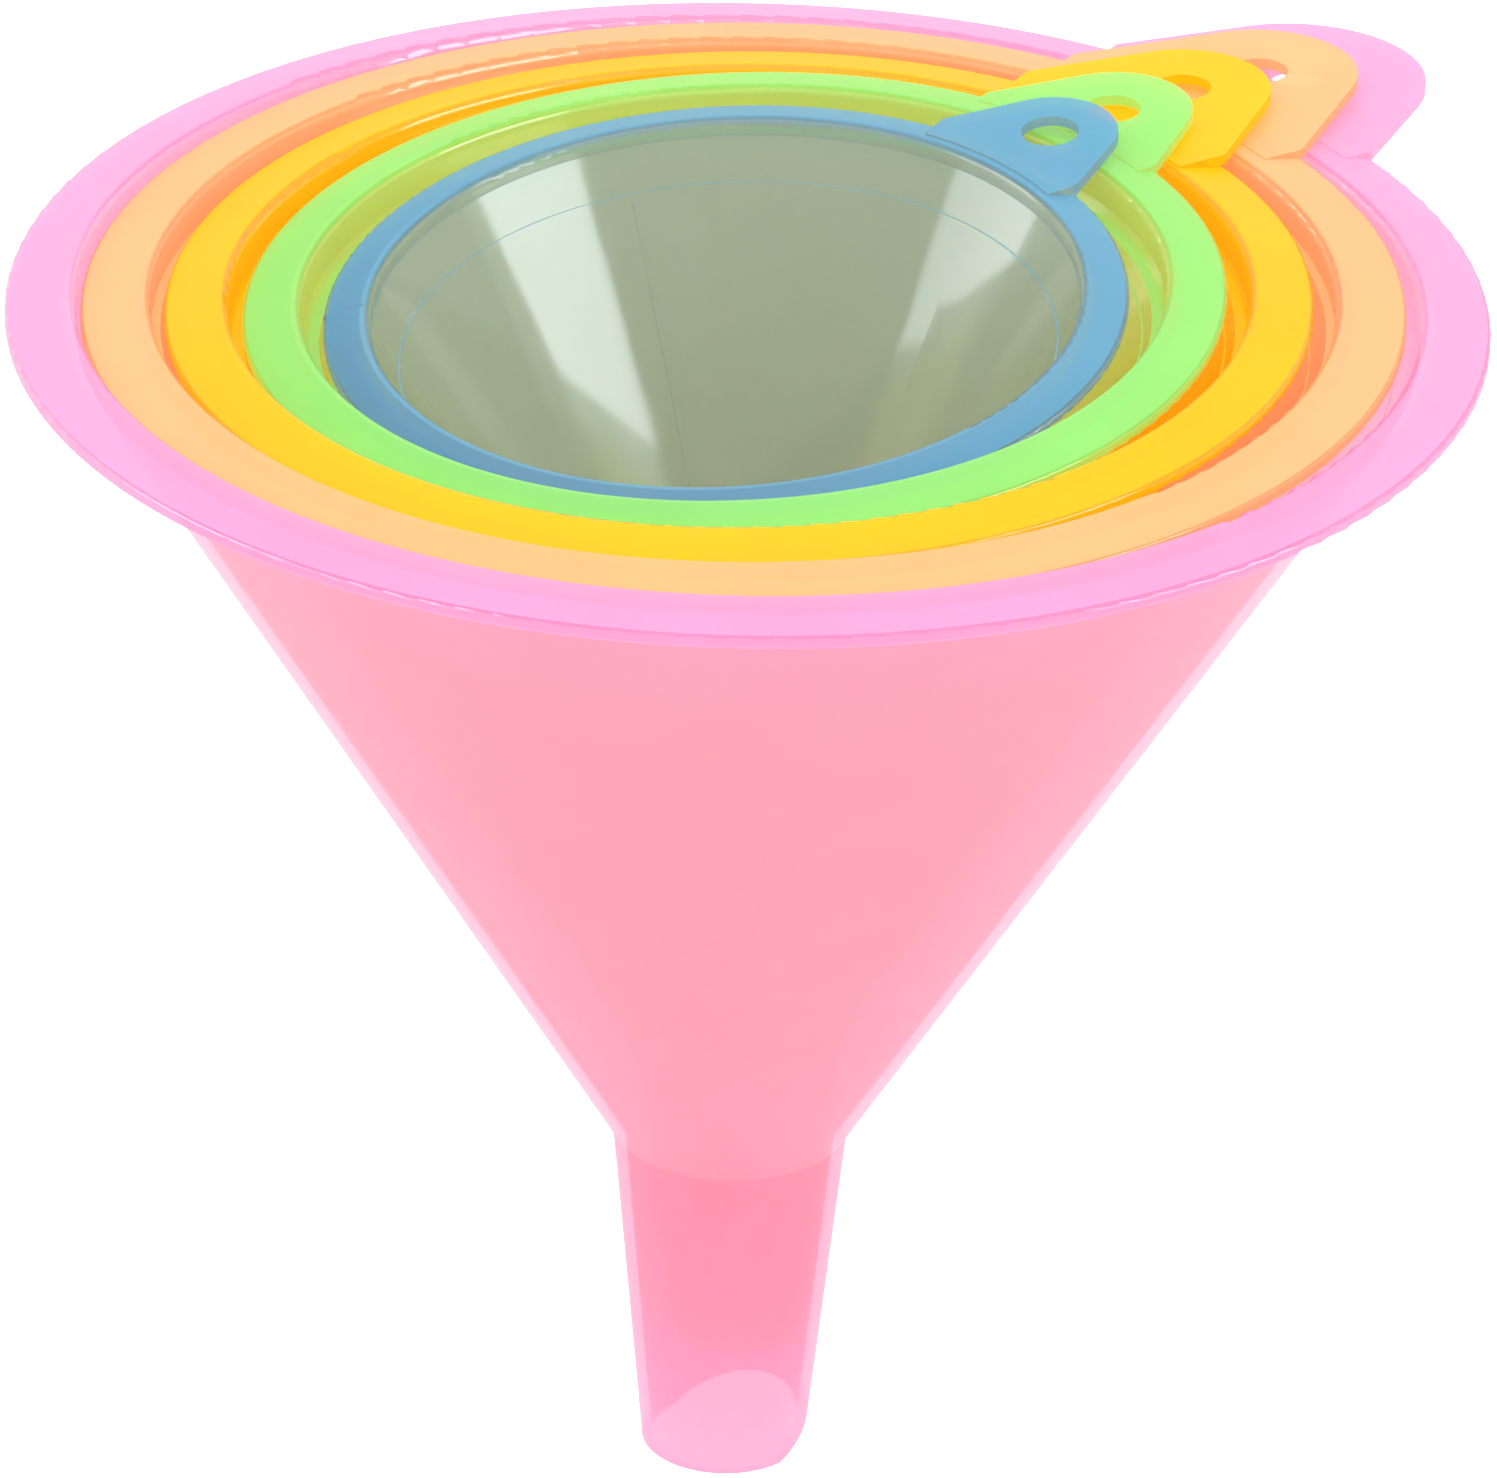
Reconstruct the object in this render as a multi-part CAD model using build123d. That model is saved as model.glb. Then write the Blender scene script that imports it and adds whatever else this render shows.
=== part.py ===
from build123d import *

import math
import os
from dataclasses import dataclass

# Set of five nested kitchen funnels, each one plastic moulding with a hang tab.
#
# Millimetres, +Z up. The origin is the centre of the largest funnel's neck, where its
# cone would sit in the mouth of a bottle. The front of the set faces -Y.

# ---- overall size, and sizes that all five funnels share ------------------------
RIM_R = 67.5  # the largest funnel, without its tab
TAB_BEARING = 45.0  # direction of the largest funnel's tab, in degrees from +X to +Y
SEAT_GAP = 0.25  # clearance left where one funnel rests in the next
HANG_HOLE_R = 2.7
TAB_THICKNESS = 1.0
TAB_HALF_ANGLE = 14.2  # half of the angle that a tab's root spans on the rim
EDGE_ROUND = 0.4  # rounding of the rim's outer edge
MOUTH_ROUND = 0.8  # rounding of the rim's inner edge
COLLAR_THICKNESS = 1.3  # wall just under the rim
RING_DEPTH = 5.6  # the fine ring inside the cone, below the mouth's crest
RING_STEP = 0.15  # how far the cone's wall steps in at that ring
RIB_WIDTH = 0.5  # raised mould line down the inside of the cone
RIB_HEIGHT = 0.2
RIB_END_GAP = 0.6  # from the mould line's ends to the ring and to the neck
BEVEL_ANGLE = 25.0  # slope of the cut across the tab side of the spout's end
LIFT_ROOM = 12.0  # how far a lifted funnel clears the one that held it
SETTLE_STEPS = 20  # rounds that the lean of a resting funnel is worked out in


@dataclass
class Funnel:
    """One funnel. Its own frame has z = 0 at the rim's top outer edge, and +X at its tab."""

    rim_r: float  # outer radius of the rim
    rim_width: float  # from the outer edge to the mouth's crest
    rim_rise: float  # the crest's height over the outer edge
    rim_thickness: float
    collar_depth: float  # from the crest down to the step that the next funnel's rim sits on
    neck_depth: float  # from the outer edge down to the neck
    neck_r: float  # outer radius at the neck
    spout_length: float
    tip_r: float  # outer radius at the spout's end
    wall: float
    hole_reach: float  # from the axis to the hang hole
    tab_end_r: float  # radius of the tab's round end
    tab_level: float  # the tab's underside, over the rim's outer edge
    rib_bearing: float  # direction of the mould line, from the tab
    turn: float = 0.0  # turn of the tab against the next larger funnel's
    tip_bearing: float = 0.0  # direction it tips and slides in, from straight away from its tab
    sideways: float = 0.0  # share of its play that it has slid in that direction

    @property
    def crest_r(self):
        return self.rim_r - self.rim_width

    @property
    def mouth_r(self):
        return self.crest_r - MOUTH_ROUND

    @property
    def step_z(self):
        return self.rim_rise - self.collar_depth

    @property
    def ring_z(self):
        return self.rim_rise - RING_DEPTH

    @property
    def rim_slope(self):
        return self.rim_rise / self.rim_width

    @property
    def cone_top(self):
        """Where the cone's outer face meets the underside of the rim: radius and height."""
        radius = self.mouth_r + COLLAR_THICKNESS
        return radius, (self.rim_r - radius) * self.rim_slope - self.rim_thickness

    @property
    def cone_slope(self):
        radius, height = self.cone_top
        return (radius - self.neck_r) / (height + self.neck_depth)

    @property
    def wall_across(self):
        """The cone's wall, measured level."""
        return self.wall * math.hypot(1, self.cone_slope)

    @property
    def tip_z(self):
        return -self.neck_depth - self.spout_length

    def cone_inside(self, z):
        return self.neck_r - self.wall_across + (z + self.neck_depth) * self.cone_slope


# ---- the five funnels, the largest first ----------------------------------------
PINK = Funnel(
    rim_r=RIM_R, rim_width=5.6, rim_rise=1.3, rim_thickness=1.3, collar_depth=3.45,
    neck_depth=85.7, neck_r=11.1, spout_length=33.9, tip_r=7.8, wall=1.0,
    hole_reach=RIM_R + 5.5, tab_end_r=12.2, tab_level=-0.3, rib_bearing=167.0,
)


def smaller(outer, rim_play, hole_out, neck_rise, neck_slim, tip_slim, **own):
    """A funnel that nests in the outer one. Its rim leaves rim_play all round in the outer
    mouth, its neck is neck_rise higher up and neck_slim slimmer, and the end of its spout is
    tip_slim slimmer. Its hang hole is hole_out outside its rim."""
    rim_r = outer.mouth_r - rim_play
    return Funnel(
        rim_r=rim_r,
        hole_reach=rim_r + hole_out,
        neck_depth=outer.neck_depth - neck_rise,
        neck_r=outer.neck_r - neck_slim,
        tip_r=outer.tip_r - tip_slim,
        **own,
    )


PEACH = smaller(
    PINK, rim_play=0.9, hole_out=8.2, neck_rise=8.2, neck_slim=1.7, tip_slim=1.8,
    rim_width=5.6, rim_rise=1.2, rim_thickness=1.3, collar_depth=3.3,
    spout_length=31.0, wall=1.0, tab_end_r=9.3, tab_level=-0.15, rib_bearing=175.0,
    turn=0.1, tip_bearing=-3.0, sideways=0.9,
)
YELLOW = smaller(
    PEACH, rim_play=1.6, hole_out=6.1, neck_rise=8.5, neck_slim=1.3, tip_slim=1.2,
    rim_width=5.0, rim_rise=1.3, rim_thickness=1.2, collar_depth=4.15,
    spout_length=28.0, wall=1.0, tab_end_r=8.3, tab_level=0.3, rib_bearing=120.0,
    turn=-0.1, tip_bearing=-6.0, sideways=0.4,
)
GREEN = smaller(
    YELLOW, rim_play=1.7, hole_out=4.2, neck_rise=15.0, neck_slim=0.9, tip_slim=0.6,
    rim_width=4.6, rim_rise=1.3, rim_thickness=1.2, collar_depth=4.3,
    spout_length=18.0, wall=0.9, tab_end_r=7.5, tab_level=-0.5, rib_bearing=90.0,
    turn=-0.6, tip_bearing=4.6, sideways=0.45,
)
BLUE = smaller(
    GREEN, rim_play=2.7, hole_out=4.1, neck_rise=9.0, neck_slim=1.4, tip_slim=0.0,
    rim_width=3.6, rim_rise=1.2, rim_thickness=1.1, collar_depth=1.9,
    spout_length=14.0, wall=0.8, tab_end_r=6.3, tab_level=0.0, rib_bearing=65.0,
    turn=-1.6, tip_bearing=26.0, sideways=0.85,
)

NEST = [
    ("pink_funnel", PINK),
    ("peach_funnel", PEACH),
    ("yellow_funnel", YELLOW),
    ("green_funnel", GREEN),
    ("blue_funnel", BLUE),
]


# ---- one funnel -----------------------------------------------------------------
def body(f):
    """The turned shape: rim, mouth, step, cone, neck and spout."""
    cone_top_r, cone_top_z = f.cone_top
    above_ring = f.cone_inside(f.step_z) + RING_STEP
    corners = [
        (f.rim_r, 0, EDGE_ROUND),
        (f.rim_r, -f.rim_thickness, EDGE_ROUND),
        (cone_top_r, cone_top_z, MOUTH_ROUND),
        (f.neck_r, -f.neck_depth, 0),
        (f.tip_r, f.tip_z, 0),
        (f.tip_r - f.wall, f.tip_z, 0),
        (f.neck_r - f.wall_across, -f.neck_depth, 0),
    ]
    if f.ring_z < f.step_z:
        corners += [
            (f.cone_inside(f.ring_z), f.ring_z, 0),
            (f.cone_inside(f.ring_z) + RING_STEP, f.ring_z, 0),
        ]
    corners += [
        (above_ring, f.step_z, 0),
        (f.mouth_r, f.step_z, 0),
        (f.mouth_r, f.rim_rise, MOUTH_ROUND),
    ]
    outline = FilletPolyline(
        [(r, z) for r, z, _ in corners],
        radius=[rounding for _, _, rounding in corners],
        close=True,
    )
    return revolve(Plane.XZ * make_face(outline), Axis.Z, 360)


def tab(f):
    """Flat hang tab, from inside the rim's own thickness out to a round end."""
    half = math.radians(TAB_HALF_ANGLE)
    inner_r = max(f.crest_r, f.rim_r - (f.tab_level + TAB_THICKNESS) / f.rim_slope)
    notch = Vector(f.rim_r * math.cos(half), f.rim_r * math.sin(half))
    to_notch = notch - Vector(f.hole_reach, 0)
    opening = math.acos(f.tab_end_r / to_notch.length)
    flank = math.atan2(to_notch.Y, to_notch.X) - opening
    touch = Vector(f.hole_reach + f.tab_end_r * math.cos(flank), f.tab_end_r * math.sin(flank))
    half_outline = [
        Vector(inner_r * math.cos(half), inner_r * math.sin(half)),
        notch,
        touch,
    ]
    mirrored = [Vector(p.X, -p.Y) for p in reversed(half_outline)]
    flanks = make_face(Polyline(half_outline + mirrored, close=True))
    plan = flanks + Pos(f.hole_reach, 0) * Circle(f.tab_end_r)
    plate = Pos(0, 0, f.tab_level) * extrude(plan, TAB_THICKNESS)
    return plate - Cylinder(inner_r, 4 * (f.rim_thickness + f.rim_rise))


def rib(f):
    """Fine raised line down the inside of the cone, from under the ring to over the neck."""
    top_z = min(f.ring_z, f.step_z) - RIB_END_GAP
    bottom_z = RIB_END_GAP - f.neck_depth
    tilt = math.degrees(math.atan(f.cone_slope))
    length = (top_z - bottom_z) / math.cos(math.radians(tilt))
    middle_z = (top_z + bottom_z) / 2
    bar = Box(2 * RIB_HEIGHT, RIB_WIDTH, length)
    return Rot(Z=f.rib_bearing) * Pos(f.cone_inside(middle_z), 0, middle_z) * Rot(Y=tilt) * bar


def spout_bevel(f):
    """What the sloping cut takes off the tab side of the spout's end."""
    size = 4 * f.tip_r
    block = Pos(size / 2, 0, -size / 2) * Box(size, size, size)
    return Pos(0, 0, f.tip_z) * Rot(Y=-BEVEL_ANGLE) * block


def make_funnel(f):
    hang_hole = Pos(f.hole_reach, 0, f.tab_level) * Cylinder(HANG_HOLE_R, 4 * TAB_THICKNESS)
    return body(f) + tab(f) + rib(f) - hang_hole - spout_bevel(f)


# ---- how one funnel rests in the next -------------------------------------------
def side_shift(outer, inner):
    """How far the inner funnel has slid off the outer one's axis."""
    return inner.sideways * (outer.mouth_r - SEAT_GAP - inner.rim_r)


def tab_arm(outer, inner):
    """From the inner funnel's axis to where the low side of its tab crosses the outer
    funnel's crest, measured up the slope that it tips on."""
    shift = side_shift(outer, inner)
    low_side = math.radians(abs(inner.tip_bearing) + TAB_HALF_ANGLE)
    across = shift * math.sin(low_side)
    reach = shift * math.cos(low_side) + math.sqrt(outer.crest_r**2 - across**2)
    return reach * math.cos(low_side)


def settle(outer, inner):
    """Where the inner funnel comes to rest: its lean in radians and its height.

    Its tab lies on the crest of the outer funnel's mouth, and the far edge of its rim
    lies on the step inside that mouth.
    """
    arm = tab_arm(outer, inner)
    lean = 0.0
    for _ in range(SETTLE_STEPS):
        tab_drop = arm * math.tan(lean) + inner.tab_level / math.cos(lean)
        edge_drop = inner.rim_thickness * math.cos(lean) + inner.rim_r * math.sin(lean)
        lean += (outer.collar_depth - tab_drop - edge_drop) / (arm + inner.rim_r)
    return lean, outer.rim_rise + SEAT_GAP - tab_drop


def seat(outer, inner):
    """The inner funnel's frame, in the outer funnel's frame."""
    lean, height = settle(outer, inner)
    rest = Pos(-side_shift(outer, inner), 0, height) * Rot(Y=-math.degrees(lean))
    return Rot(Z=inner.turn + inner.tip_bearing) * rest * Rot(Z=-inner.tip_bearing)


def lift_travel(outer, inner):
    """Travel along the outer funnel's axis that takes the inner one clear of it."""
    lean, height = settle(outer, inner)
    return outer.rim_rise - height - inner.tip_z * math.cos(lean) + LIFT_ROOM


def main():
    os.makedirs("parts", exist_ok=True)
    place = Pos(0, 0, PINK.neck_depth) * Rot(Z=TAB_BEARING)
    outer = None
    for name, funnel in NEST:
        if outer:
            place = place * seat(outer, funnel)
            lean, _ = settle(outer, funnel)
            print(f"{name}: leans {math.degrees(lean):.2f}, lifts {lift_travel(outer, funnel):.1f}")
        export_step(place * make_funnel(funnel), f"parts/{name}.step")
        print(f"{name}: {place.position}, axis {place.z_axis.direction}, tab {place.x_axis.direction}")
        outer = funnel


main()
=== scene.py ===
"""Set of five nested kitchen funnels: finishes, small mouldings, studio and camera."""

import math

import bmesh
import bpy
from bpy.props import FloatProperty, FloatVectorProperty, PointerProperty
from bpy.types import Operator, Panel, PropertyGroup
from mathutils import Matrix, Vector


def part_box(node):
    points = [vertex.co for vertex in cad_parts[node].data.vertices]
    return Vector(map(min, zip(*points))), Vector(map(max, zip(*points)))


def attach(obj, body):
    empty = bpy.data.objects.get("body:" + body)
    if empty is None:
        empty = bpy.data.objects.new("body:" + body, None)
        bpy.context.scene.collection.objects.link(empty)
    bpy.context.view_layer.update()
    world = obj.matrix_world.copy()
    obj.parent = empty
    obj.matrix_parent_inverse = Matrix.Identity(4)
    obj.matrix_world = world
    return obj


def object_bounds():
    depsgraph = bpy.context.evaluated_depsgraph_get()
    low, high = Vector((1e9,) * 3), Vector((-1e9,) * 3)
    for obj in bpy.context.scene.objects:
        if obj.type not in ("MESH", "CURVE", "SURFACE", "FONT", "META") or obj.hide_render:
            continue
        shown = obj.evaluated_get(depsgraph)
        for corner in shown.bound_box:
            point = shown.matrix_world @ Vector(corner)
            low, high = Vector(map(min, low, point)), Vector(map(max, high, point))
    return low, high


bl_info = {
    "name": "Nested Funnels",
    "version": (1, 0, 0),
    "blender": (4, 5, 0),
    "location": "3D View > Sidebar > Funnels",
    "description": "Finishes, gate mark, studio and camera for a set of five nested funnels",
    "category": "Object",
}

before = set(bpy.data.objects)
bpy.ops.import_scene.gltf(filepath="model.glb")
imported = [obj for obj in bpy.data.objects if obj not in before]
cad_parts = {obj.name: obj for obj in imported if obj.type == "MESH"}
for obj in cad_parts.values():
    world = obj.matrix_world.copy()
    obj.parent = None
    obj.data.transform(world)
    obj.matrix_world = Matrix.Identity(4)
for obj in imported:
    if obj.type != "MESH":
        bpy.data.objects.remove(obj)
CAD_LOW, CAD_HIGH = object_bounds()

FUNNELS = ("pink", "peach", "yellow", "green", "blue")  # the largest first
RIM_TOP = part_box("pink_funnel")[1].z
TIP = CAD_LOW.z
WHITE = (1.0, 1.0, 1.0)

# Soft edges of the masks, as the upward part of a face's normal: 0 is upright, 1 is level
INSIDE_FACES = (0.05, 0.25)  # the upper side of a cone, from here up
EDGE_STARTS = (0.60, 0.72)  # rounded edges, steeper than a rim
EDGE_ENDS = (0.90, 0.98)  # where they give way to the level rim
LEVEL_FACES = (0.80, 0.95)  # rims and tabs, against walls

NOISE_MIDDLE = 0.5
HAZE_SWING = 2.0  # brightness against the noise about its middle, at a haze of 1
HAZE_ROUGHNESS = 0.10  # how far that noise moves the roughness outside
HAZE_DETAIL = 3.0
GRAIN_DETAIL = 1.0
PLASTIC_IOR = 1.5
POLISH_IOR = 1.6
STUB_INSET = 0.6  # from the rim's edge in to the stub's centre, against its width
STUB_SEGMENTS = 16
STUB_RINGS = 10
LINE_CUTS = 2
FLOOR_ROUGHNESS = 0.8
SENSOR_WIDTH = 36.0  # millimetres
TRANSPARENT_BOUNCES = 16  # a ray crosses two skins at each nested wall
DIFFUSE_BOUNCES = 8

# Inputs of the plastic's node group, and the setting that each one takes
SKIN_INPUTS = (
    ("Haze", "haze"),
    ("Edge depth", "edge_depth"),
    ("Roughness inside", "mouth_gloss"),
    ("Roughness of rims", "rim_gloss"),
    ("Roughness outside", "skin_gloss"),
    ("Haze size", "haze_size"),
    ("Grain size", "grain_size"),
    ("Grain height", "grain_height"),
    ("Ripple size", "ripple_size"),
    ("Ripple height", "ripple_height"),
)


# ---- settings -------------------------------------------------------------------
def colour(name, description, default):
    """A colour that the user can change."""
    return FloatVectorProperty(
        name=name,
        description=description,
        subtype="COLOR",
        size=3,
        min=0.0,
        max=1.0,
        default=default,
    )


def share(name, description, default, top=1.0):
    """A number without a unit, from 0 to top."""
    return FloatProperty(
        name=name, description=description, subtype="FACTOR", min=0.0, max=top, default=default
    )


def length(name, description, default):
    return FloatProperty(
        name=name,
        description=description,
        subtype="DISTANCE",
        unit="LENGTH",
        default=default,
        precision=4,
    )


def angle(name, description, degrees):
    return FloatProperty(
        name=name,
        description=description,
        subtype="ANGLE",
        unit="ROTATION",
        default=math.radians(degrees),
    )


class FunnelColours(PropertyGroup):
    """Each funnel's colour, at its solid rim and tab and in its thinner wall."""

    pink: colour("Pink", "Rim of the largest funnel", (0.98, 0.32, 0.55))
    peach: colour("Peach", "Rim of the second funnel", (0.98, 0.50, 0.22))
    yellow: colour("Yellow", "Rim of the third funnel", (1.0, 0.53, 0.0005))
    green: colour("Green", "Rim of the fourth funnel", (0.24, 0.70, 0.19))
    blue: colour("Blue", "Rim of the smallest funnel", (0.11, 0.35, 0.56))
    pink_wall: colour("Pink wall", "Wall of the largest funnel", (1.0, 0.42, 0.62))
    peach_wall: colour("Peach wall", "Wall of the second funnel", (1.0, 0.60, 0.30))
    yellow_wall: colour("Yellow wall", "Wall of the third funnel", (1.0, 0.70, 0.01))
    green_wall: colour("Green wall", "Wall of the fourth funnel", (0.60, 0.88, 0.30))
    blue_wall: colour("Blue wall", "Wall of the smallest funnel", (0.46, 0.53, 0.60))


class PlasticSettings(PropertyGroup):
    """How the moulded plastic looks, whatever its colour."""

    milky_wall: share("Milky walls", "Share of scattered light that goes through a wall's skin", 0.48)
    milky_rim: share("Milky rims", "Share of scattered light that goes through a rim's skin", 0.25)
    clear_wall: share("Clear walls", "Share of light that goes straight through a wall's skin", 0.32)
    clear_blue: share("Clear blue wall", "The same for the thin wall of the smallest funnel", 0.54)
    clear_rim: share("Clear rims", "Share of light that goes straight through a rim's skin", 0.20)
    tint: share("Tint", "Power of the wall's colour that tints light going through", 0.14)
    mouth_gloss: share("Roughness inside", "Roughness of the polished inside of a cone", 0.10)
    polish: share("Roughness of the polish", "Roughness of the gloss inside a cone", 0.09)
    rim_gloss: share("Roughness of the rims", "Roughness of the rims and the tabs", 0.42)
    skin_gloss: share("Roughness outside", "Roughness of the outside of a cone", 0.34)
    warm_gloss: share("Tinted gloss", "How much of the plastic's colour its gloss takes on", 0.6)
    haze: share("Haze", "Cloudiness of the coloured plastic", 0.06)
    # Painted shade: how much the colour is darkened and deepened on the rounded edges
    edge_depth: share("Edge depth", "How much deeper the colour is on rounded edges", 0.75)
    haze_size: length("Haze size", "Size of the cloudy patches", 0.011)
    grain_size: length("Grain size", "Size of the mould's fine grain", 0.0006)
    grain_height: length("Grain height", "Height of the mould's fine grain", 0.000012)
    ripple_size: length("Ripple size", "Size of the slow waves in the surface", 0.014)
    ripple_height: length("Ripple height", "Height of the slow waves in the surface", 0.00004)


class GateSettings(PropertyGroup):
    """The mark that the mould's gate leaves on a rim."""

    search_depth: length("Search depth", "How far in from the edge the crest is looked for", 0.004)
    search_reach: length("Search reach", "How far to each side it is looked for", 0.0015)
    line_width: length("Line width", "Width of the witness line", 0.00015)
    line_height: length("Line height", "Height of the witness line", 0.00016)
    stub_size: length("Stub size", "Width of the cut stub", 0.0009)
    stub_flatness: share("Stub flatness", "Height of the stub against its width", 0.5)


class StudioSettings(PropertyGroup):
    """Floor, lights and camera."""

    elevation: angle("Elevation", "The camera's angle above the horizon", 27.4469)
    roll: angle("Roll", "The camera's turn about its own line of sight", 1.3027)
    distance: length("Distance", "From the camera to the point it looks at", 1.045579)
    aim_x: length("Aim across", "Sideways place of the point it looks at", 0.00093195)
    aim_below_rim: length("Aim below rim", "From the top of the rim down to that point", 0.0459302)
    lens: FloatProperty(name="Lens", description="Focal length", unit="CAMERA", default=271.12)
    floor_drop: length("Floor drop", "From the tip of the spout down to the floor", 0.16)
    floor_size: length("Floor size", "Length of a side of the floor", 24.0)
    floor_colour: colour("Floor colour", "Pale floor", (0.86, 0.86, 0.86))
    floor_glow: share("Floor glow", "Light that the floor gives off itself", 0.42)
    sky: share("Sky", "Strength of the even white light", 1.05, top=5.0)
    left_power: FloatProperty(name="Left power", description="Watts", unit="POWER", default=9.0)
    right_power: FloatProperty(name="Right power", description="Watts", unit="POWER", default=14.0)
    box_width: length("Softbox width", "Width of a softbox", 0.66)
    box_height: length("Softbox height", "Height of a softbox", 0.50)
    box_distance: length("Softbox distance", "From the funnels to a softbox", 1.1)
    left_bearing: angle("Left softbox", "Bearing of the left softbox, from +X", 175.0)
    left_height: angle("Left softbox height", "Angle of the left softbox above the horizon", 18.0)
    right_bearing: angle("Right softbox", "Bearing of the right softbox, from +X", -26.0)
    right_height: angle("Right softbox height", "Angle of the right softbox above it", 27.0)
    top_power: FloatProperty(name="Overhead power", description="Watts", unit="POWER", default=16.0)
    top_size: length("Overhead size", "Side of the square softbox overhead", 1.6)
    top_distance: length("Overhead distance", "From the funnels up to that softbox", 1.3)


# ---- shader nodes ---------------------------------------------------------------
class Nodes:
    """Adds nodes to one tree and links them."""

    def __init__(self, tree):
        self.tree = tree
        tree.nodes.clear()

    def add(self, kind, settings=None, **inputs):
        """A node with its settings and its inputs. An input's value is a number, a colour or
        another node's output, and an underscore in its name stands for a space."""
        node = self.tree.nodes.new(kind)
        for key, value in (settings or {}).items():
            setattr(node, key, value)
        for key, value in inputs.items():
            socket = node.inputs[key.replace("_", " ")]
            self.fill(socket, value)
        return node

    def fill(self, socket, value):
        if isinstance(value, bpy.types.NodeSocket):
            self.tree.links.new(value, socket)
        elif hasattr(value, "__len__") and len(value) == 3 and socket.type == "RGBA":
            socket.default_value = (*value, 1.0)
        else:
            socket.default_value = value

    def math(self, operation, a, b=0.0):
        node = self.add("ShaderNodeMath", {"operation": operation})
        self.fill(node.inputs[0], a)
        self.fill(node.inputs[1], b)
        return node.outputs[0]

    def ramp(self, value, low, high, at_low=0.0, at_high=1.0):
        """A smooth step of value from at_low to at_high."""
        node = self.add(
            "ShaderNodeMapRange",
            {"interpolation_type": "SMOOTHSTEP"},
            From_Min=low,
            From_Max=high,
            To_Min=at_low,
            To_Max=at_high,
            Value=value,
        )
        return node.outputs[0]

    def blend(self, mode, factor, a, b):
        """Colour b laid over colour a."""
        node = self.add("ShaderNodeMix", {"data_type": "RGBA", "blend_type": mode})
        self.fill(node.inputs[0], factor)
        self.fill(node.inputs[6], a)
        self.fill(node.inputs[7], b)
        return node.outputs[2]

    def between(self, factor, a, b):
        """The number a where factor is 0, and b where it is 1."""
        node = self.add("ShaderNodeMix", {"data_type": "FLOAT"})
        self.fill(node.inputs[0], factor)
        self.fill(node.inputs[2], a)
        self.fill(node.inputs[3], b)
        return node.outputs[0]

    def mix(self, factor, first, second):
        """The first shader where factor is 0, and the second where it is 1."""
        node = self.add("ShaderNodeMixShader")
        self.fill(node.inputs[0], factor)
        self.fill(node.inputs[1], first.outputs[0])
        self.fill(node.inputs[2], second.outputs[0])
        return node

    def noise(self, place, size, detail):
        """Noise from 0 to 1, whose patches are about size across."""
        scale = self.math("DIVIDE", 1.0, size)
        node = self.add("ShaderNodeTexNoise", Vector=place, Scale=scale, Detail=detail)
        return node.outputs["Fac"]

    def upward(self, where):
        """The upward part of the normal, in the funnel's own axes."""
        return self.add("ShaderNodeSeparateXYZ", Vector=where["Normal"]).outputs["Z"]


def moulded_plastic_group():
    """Node group for the skin of moulded plastic: cloudy colour, painted shade that darkens and
    deepens the colour on the rounded edges, a polished inside, satin rims and outside, and the
    mould's grain and slow waves."""
    tree = bpy.data.node_groups.new("moulded_plastic", "ShaderNodeTree")
    face = tree.interface
    face.new_socket("Rim colour", in_out="INPUT", socket_type="NodeSocketColor")
    face.new_socket("Wall colour", in_out="INPUT", socket_type="NodeSocketColor")
    for name, _ in SKIN_INPUTS:
        face.new_socket(name, in_out="INPUT", socket_type="NodeSocketFloat")
    face.new_socket("Colour", in_out="OUTPUT", socket_type="NodeSocketColor")
    face.new_socket("Roughness", in_out="OUTPUT", socket_type="NodeSocketFloat")
    face.new_socket("Height", in_out="OUTPUT", socket_type="NodeSocketFloat")
    face.new_socket("Polish", in_out="OUTPUT", socket_type="NodeSocketFloat")

    n = Nodes(tree)
    given = n.add("NodeGroupInput").outputs
    where = n.add("ShaderNodeTexCoord").outputs
    place = where["Object"]
    facing = n.upward(where)

    level = n.ramp(n.math("ABSOLUTE", facing), *LEVEL_FACES)
    inside = n.math("MULTIPLY", n.ramp(facing, *INSIDE_FACES), n.math("SUBTRACT", 1.0, level))
    # Mask of the rounded edges, which carries their painted shade
    edge = n.math("MULTIPLY", n.ramp(facing, *EDGE_STARTS), n.ramp(facing, *EDGE_ENDS, 1.0, 0.0))

    cloud = n.math("SUBTRACT", n.noise(place, given["Haze size"], HAZE_DETAIL), NOISE_MIDDLE)
    lift = n.math("MULTIPLY", cloud, n.math("MULTIPLY", given["Haze"], HAZE_SWING))
    bright = n.math("ADD", 1.0, lift)
    base = n.blend("MIX", level, given["Wall colour"], given["Rim colour"])
    cloudy = n.add("ShaderNodeHueSaturation", Value=bright, Color=base).outputs[0]
    # Painted shade: the colour multiplied by the rim colour, so it is darker and deeper, laid over
    # the rounded edges
    edge_shade_colour = n.blend("MULTIPLY", 1.0, cloudy, given["Rim colour"])
    coloured = n.blend("MIX", n.math("MULTIPLY", edge, given["Edge depth"]), cloudy, edge_shade_colour)

    uneven = n.math("MULTIPLY", cloud, HAZE_ROUGHNESS)
    outside = n.math("ADD", given["Roughness outside"], uneven)
    wall = n.between(inside, outside, given["Roughness inside"])
    roughness = n.between(level, wall, given["Roughness of rims"])

    grain = n.noise(place, given["Grain size"], GRAIN_DETAIL)
    ripple = n.noise(place, given["Ripple size"], GRAIN_DETAIL)
    height = n.math(
        "ADD",
        n.math("MULTIPLY", grain, given["Grain height"]),
        n.math("MULTIPLY", ripple, given["Ripple height"]),
    )

    out = n.add("NodeGroupOutput")
    n.fill(out.inputs["Colour"], coloured)
    n.fill(out.inputs["Roughness"], roughness)
    n.fill(out.inputs["Height"], height)
    n.fill(out.inputs["Polish"], inside)
    return tree


def moulded_plastic():
    """The node group above, built once."""
    return bpy.data.node_groups.get("moulded_plastic") or moulded_plastic_group()


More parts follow.
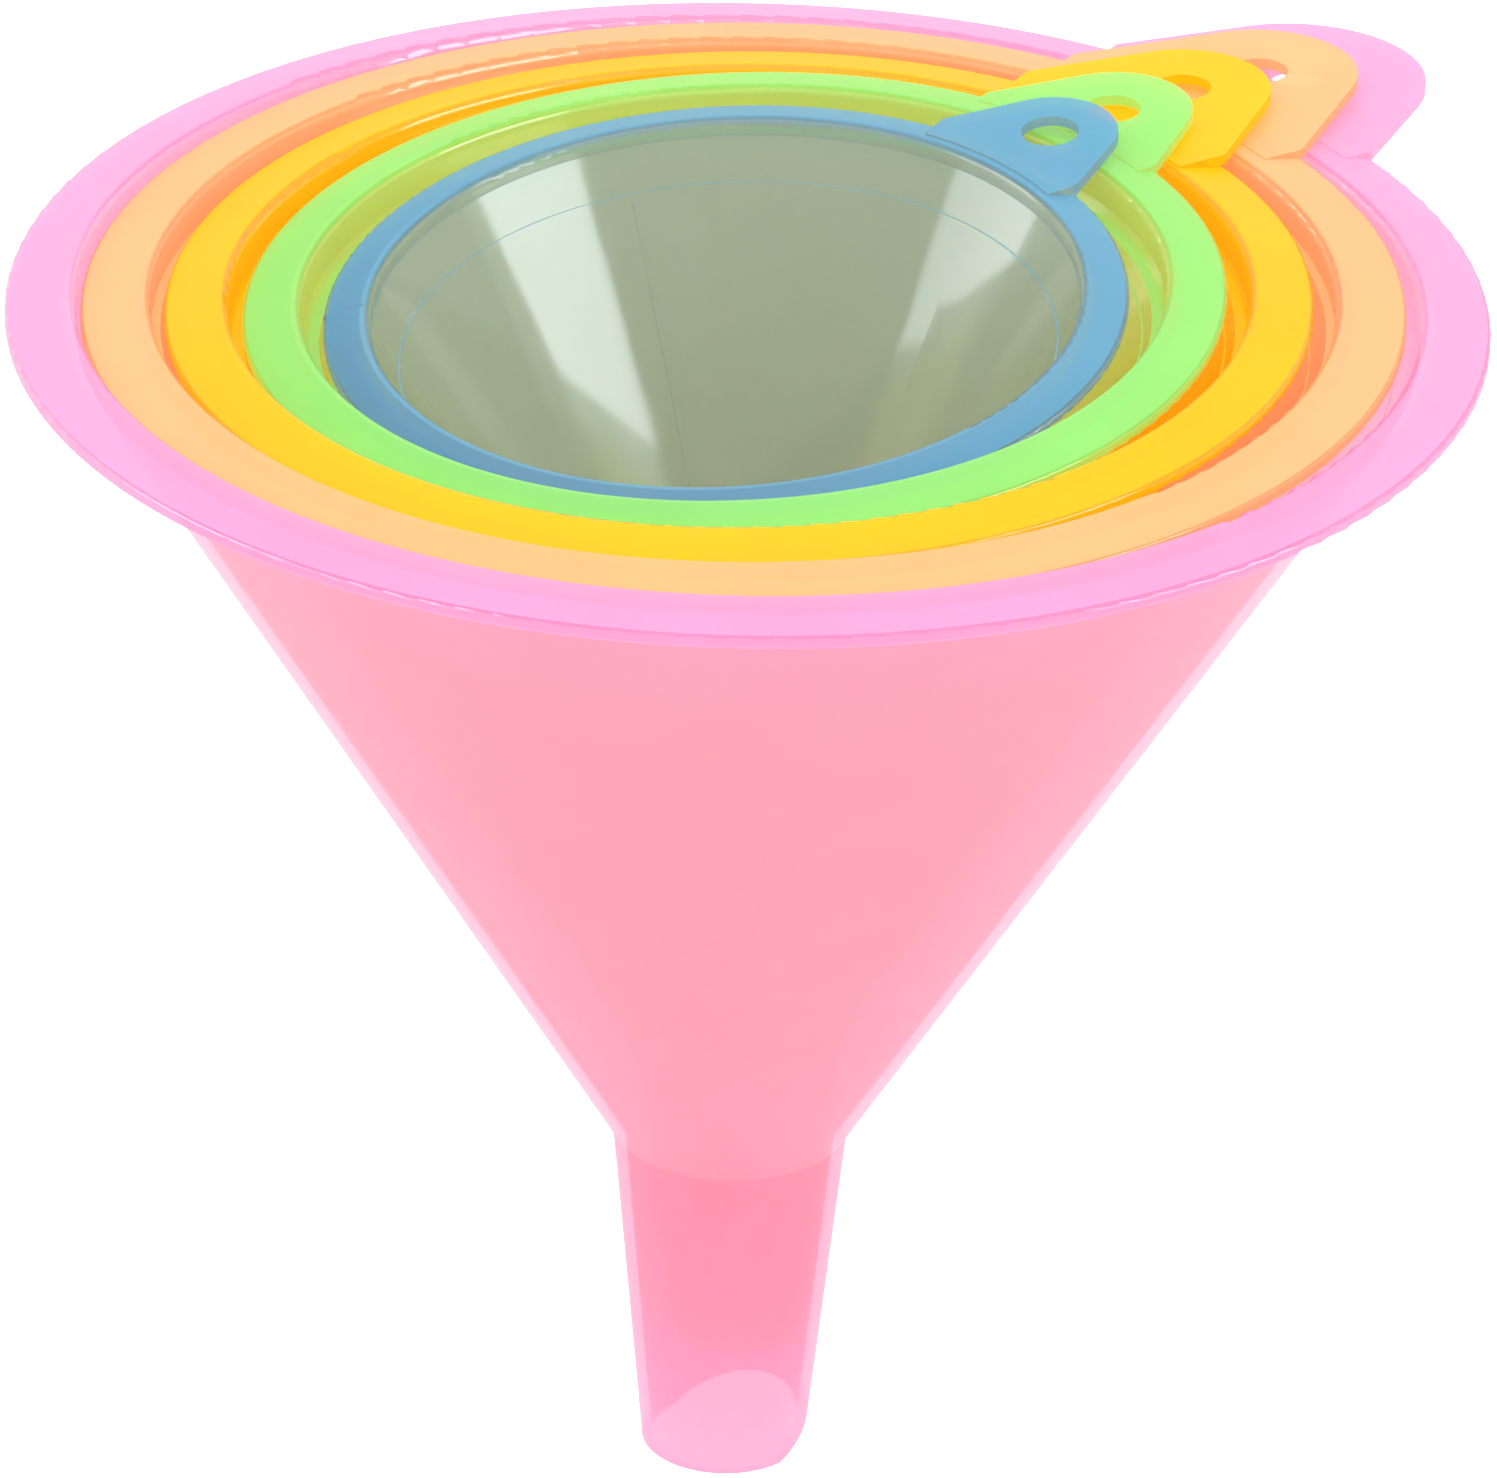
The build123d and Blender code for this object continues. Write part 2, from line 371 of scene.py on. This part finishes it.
def funnel_plastic(name, plastic, settings, rim_colour, wall_colour, clearness):
    """Thin, milky, coloured plastic. Part of the light crosses the wall and is scattered, and
    light from the lamps and the sky takes on the wall's colour on its way through."""
    material = bpy.data.materials.new(name)
    material.use_nodes = True
    n = Nodes(material.node_tree)
    skin = n.add("ShaderNodeGroup", {"node_tree": plastic})
    n.fill(skin.inputs["Rim colour"], rim_colour)
    n.fill(skin.inputs["Wall colour"], wall_colour)
    for socket, setting in SKIN_INPUTS:
        skin.inputs[socket].default_value = getattr(settings, setting)
    bump = n.add("ShaderNodeBump", Strength=1.0, Distance=1.0, Height=skin.outputs["Height"])
    surface = n.add(
        "ShaderNodeBsdfPrincipled",
        Base_Color=skin.outputs["Colour"],
        Roughness=skin.outputs["Roughness"],
        Coat_Weight=skin.outputs["Polish"],
        Coat_Roughness=settings.polish,
        Coat_IOR=POLISH_IOR,
        IOR=PLASTIC_IOR,
        Specular_Tint=tuple(1 - settings.warm_gloss * (1 - part) for part in rim_colour),
        Normal=bump.outputs[0],
    )
    scattered = n.add("ShaderNodeBsdfTranslucent", Color=wall_colour)
    light_colour = tuple(part**settings.tint for part in wall_colour)
    clear = n.add("ShaderNodeBsdfTransparent", Color=light_colour)
    level = n.math("ABSOLUTE", n.upward(n.add("ShaderNodeTexCoord").outputs))
    milkiness = n.ramp(level, *LEVEL_FACES, settings.milky_wall, settings.milky_rim)
    thinness = n.ramp(level, *LEVEL_FACES, clearness, settings.clear_rim)
    milky = n.mix(milkiness, surface, scattered)
    thin = n.mix(thinness, milky, clear)
    lit = n.mix(n.add("ShaderNodeLightPath").outputs["Is Shadow Ray"], thin, clear)
    out = n.add("ShaderNodeOutputMaterial")
    n.fill(out.inputs["Surface"], lit.outputs[0])
    return material


def funnel_material(context, name):
    """The named funnel's material, made once."""
    label = name + "_plastic"
    made = bpy.data.materials.get("moulded_" + label)
    if made:
        return made
    colours = context.scene.funnel_colours
    settings = context.scene.funnel_plastic
    return funnel_plastic(
        "moulded_" + label,
        moulded_plastic(),
        settings,
        tuple(getattr(colours, name)),
        tuple(getattr(colours, name + "_wall")),
        settings.clear_blue if name == "blue" else settings.clear_wall,
    )


def floor_material(settings):
    """Plain pale floor that is lit from within a little, as a light table is, and clear from
    below."""
    material = bpy.data.materials.new("pale_floor")
    material.use_nodes = True
    n = Nodes(material.node_tree)
    surface = n.add(
        "ShaderNodeBsdfPrincipled",
        Base_Color=tuple(settings.floor_colour),
        Roughness=FLOOR_ROUGHNESS,
        Emission_Color=WHITE,
        Emission_Strength=settings.floor_glow,
    )
    below = n.add("ShaderNodeNewGeometry").outputs["Backfacing"]
    from_below = n.mix(below, surface, n.add("ShaderNodeBsdfTransparent"))
    out = n.add("ShaderNodeOutputMaterial")
    n.fill(out.inputs["Surface"], from_below.outputs[0])
    return material


# ---- operators ------------------------------------------------------------------
class FUNNELS_OT_plastic(Operator):
    """Give each of the five funnels its own coloured, milky plastic"""

    bl_idname = "funnels.plastic"
    bl_label = "Funnel plastic"

    def execute(self, context):
        for name in FUNNELS:
            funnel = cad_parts[name + "_funnel"]
            if not funnel.material_slots:
                raise RuntimeError(f"{funnel.name} has no material slot")
            material = funnel_material(context, name)
            for slot in funnel.material_slots:
                slot.material = material
        return {"FINISHED"}


class FUNNELS_OT_gate_mark(Operator):
    """Put the small stub and witness line of the mould's gate on the blue funnel's rim"""

    bl_idname = "funnels.gate_mark"
    bl_label = "Gate mark"

    def execute(self, context):
        settings = context.scene.funnel_gate
        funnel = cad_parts["blue_funnel"]
        corners = [funnel.matrix_world @ v.co for v in funnel.data.vertices]
        edge = min(corners, key=lambda corner: corner.x)
        near = [
            corner
            for corner in corners
            if 0 < corner.x - edge.x < settings.search_depth
            and abs(corner.y - edge.y) < settings.search_reach
        ]
        if not near:
            raise RuntimeError("the rim of the blue funnel was not found")
        crest = max(near, key=lambda corner: corner.z)
        inwards = Vector((crest.x - edge.x, 0, crest.z - edge.z))
        shape = bmesh.new()
        self.line(shape, settings, edge, inwards)
        self.stub(shape, settings, edge, inwards.normalized())
        mesh = bpy.data.meshes.new("blue_gate_mark")
        shape.to_mesh(mesh)
        shape.free()
        mesh.shade_smooth()
        mesh.materials.append(funnel_material(context, "blue"))
        mark = bpy.data.objects.new("blue_gate_mark", mesh)
        context.collection.objects.link(mark)
        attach(mark, "blue_funnel")
        return {"FINISHED"}

    def line(self, shape, settings, edge, inwards):
        """A fine raised line up the rim."""
        bmesh.ops.create_cube(shape, size=1.0)
        run = inwards.length
        for vertex in shape.verts:
            vertex.co.x *= run
            vertex.co.y *= settings.line_width
            vertex.co.z *= settings.line_height
        bmesh.ops.subdivide_edges(shape, edges=shape.edges[:], cuts=LINE_CUTS, use_grid_fill=True)
        turn = Vector((1, 0, 0)).rotation_difference(inwards).to_matrix().to_4x4()
        place = Matrix.Translation(edge + inwards / 2) @ turn
        bmesh.ops.transform(shape, matrix=place, verts=shape.verts)

    def stub(self, shape, settings, edge, along):
        """The cut stub at the outer end of the line."""
        size = settings.stub_size
        centre = edge + along * size * STUB_INSET
        made = bmesh.ops.create_uvsphere(
            shape, u_segments=STUB_SEGMENTS, v_segments=STUB_RINGS, radius=size / 2
        )
        for vertex in made["verts"]:
            vertex.co.z *= settings.stub_flatness
            vertex.co += centre


class FUNNELS_OT_studio(Operator):
    """Set up the pale floor, the white surroundings, three softboxes and the camera"""

    bl_idname = "funnels.studio"
    bl_label = "Studio and camera"

    def execute(self, context):
        settings = context.scene.funnel_studio
        self.floor(context, settings)
        self.surroundings(context, settings)
        for side in ("left", "right"):
            self.softbox(context, settings, side)
        self.overhead(context, settings)
        self.camera(context, settings)
        context.scene.view_settings.view_transform = "Standard"
        context.scene.cycles.transparent_max_bounces = TRANSPARENT_BOUNCES
        context.scene.cycles.diffuse_bounces = DIFFUSE_BOUNCES
        return {"FINISHED"}

    def floor(self, context, settings):
        mesh = bpy.data.meshes.new("floor")
        shape = bmesh.new()
        bmesh.ops.create_grid(shape, x_segments=1, y_segments=1, size=settings.floor_size / 2)
        shape.to_mesh(mesh)
        shape.free()
        mesh.materials.append(floor_material(settings))
        floor = bpy.data.objects.new("floor", mesh)
        floor.location.z = TIP - settings.floor_drop
        context.collection.objects.link(floor)

    def surroundings(self, context, settings):
        world = bpy.data.worlds.new("white_surroundings")
        world.use_nodes = True
        n = Nodes(world.node_tree)
        sky = n.add("ShaderNodeBackground", Color=WHITE, Strength=settings.sky)
        out = n.add("ShaderNodeOutputWorld")
        n.fill(out.inputs["Surface"], sky.outputs[0])
        context.scene.world = world

    def softbox(self, context, settings, side):
        name = "softbox_" + side
        bearing = getattr(settings, side + "_bearing")
        height = getattr(settings, side + "_height")
        light = bpy.data.lights.new(name, "AREA")
        light.shape = "RECTANGLE"
        light.size = settings.box_width
        light.size_y = settings.box_height
        light.energy = getattr(settings, side + "_power")
        softbox = bpy.data.objects.new(name, light)
        softbox.visible_diffuse = False
        softbox.visible_transmission = False
        level = math.cos(height)
        towards = Vector((level * math.cos(bearing), level * math.sin(bearing), math.sin(height)))
        softbox.location = Vector((0, 0, RIM_TOP)) + settings.box_distance * towards
        softbox.rotation_euler = towards.to_track_quat("Z", "Y").to_euler()
        context.collection.objects.link(softbox)

    def overhead(self, context, settings):
        light = bpy.data.lights.new("softbox_top", "AREA")
        light.size = settings.top_size
        light.energy = settings.top_power
        light.cycles.use_multiple_importance_sampling = False
        softbox = bpy.data.objects.new("softbox_top", light)
        softbox.location = (0, 0, RIM_TOP + settings.top_distance)
        context.collection.objects.link(softbox)

    def camera(self, context, settings):
        level, up = math.cos(settings.elevation), math.sin(settings.elevation)
        forward = Vector((0, level, -up))
        across = Vector((1, 0, 0))
        upright = Vector((0, up, level))
        turn, rise = math.cos(settings.roll), math.sin(settings.roll)
        right = turn * across + rise * upright
        top = turn * upright - rise * across
        data = bpy.data.cameras.new("camera")
        data.lens = settings.lens
        data.sensor_width = SENSOR_WIDTH
        data.clip_end = 2 * settings.floor_size
        camera = bpy.data.objects.new("camera", data)
        aim = Vector((settings.aim_x, 0, RIM_TOP - settings.aim_below_rim))
        matrix = Matrix((right, top, -forward)).transposed().to_4x4()
        matrix.translation = aim - settings.distance * forward
        camera.matrix_world = matrix
        context.collection.objects.link(camera)
        context.scene.camera = camera


# ---- panel ----------------------------------------------------------------------
class FUNNELS_PT_panel(Panel):
    """Lists the steps and their settings"""

    bl_idname = "FUNNELS_PT_panel"
    bl_label = "Funnels"
    bl_space_type = "VIEW_3D"
    bl_region_type = "UI"
    bl_category = "Funnels"

    def draw(self, context):
        scene = context.scene
        for step, groups in (
            (FUNNELS_OT_plastic, (scene.funnel_colours, scene.funnel_plastic)),
            (FUNNELS_OT_gate_mark, (scene.funnel_gate,)),
            (FUNNELS_OT_studio, (scene.funnel_studio,)),
        ):
            box = self.layout.box()
            box.operator(step.bl_idname)
            for group in groups:
                for key in group.__annotations__:
                    box.prop(group, key)


CLASSES = (
    FunnelColours,
    PlasticSettings,
    GateSettings,
    StudioSettings,
    FUNNELS_OT_plastic,
    FUNNELS_OT_gate_mark,
    FUNNELS_OT_studio,
    FUNNELS_PT_panel,
)


def register():
    for each in CLASSES:
        bpy.utils.register_class(each)
    bpy.types.Scene.funnel_colours = PointerProperty(type=FunnelColours)
    bpy.types.Scene.funnel_plastic = PointerProperty(type=PlasticSettings)
    bpy.types.Scene.funnel_gate = PointerProperty(type=GateSettings)
    bpy.types.Scene.funnel_studio = PointerProperty(type=StudioSettings)


def unregister():
    del bpy.types.Scene.funnel_studio
    del bpy.types.Scene.funnel_gate
    del bpy.types.Scene.funnel_plastic
    del bpy.types.Scene.funnel_colours
    for each in reversed(CLASSES):
        bpy.utils.unregister_class(each)


def main():
    register()
    bpy.ops.funnels.plastic()
    bpy.ops.funnels.gate_mark()
    bpy.ops.funnels.studio()


if __name__ == "__main__":
    main()
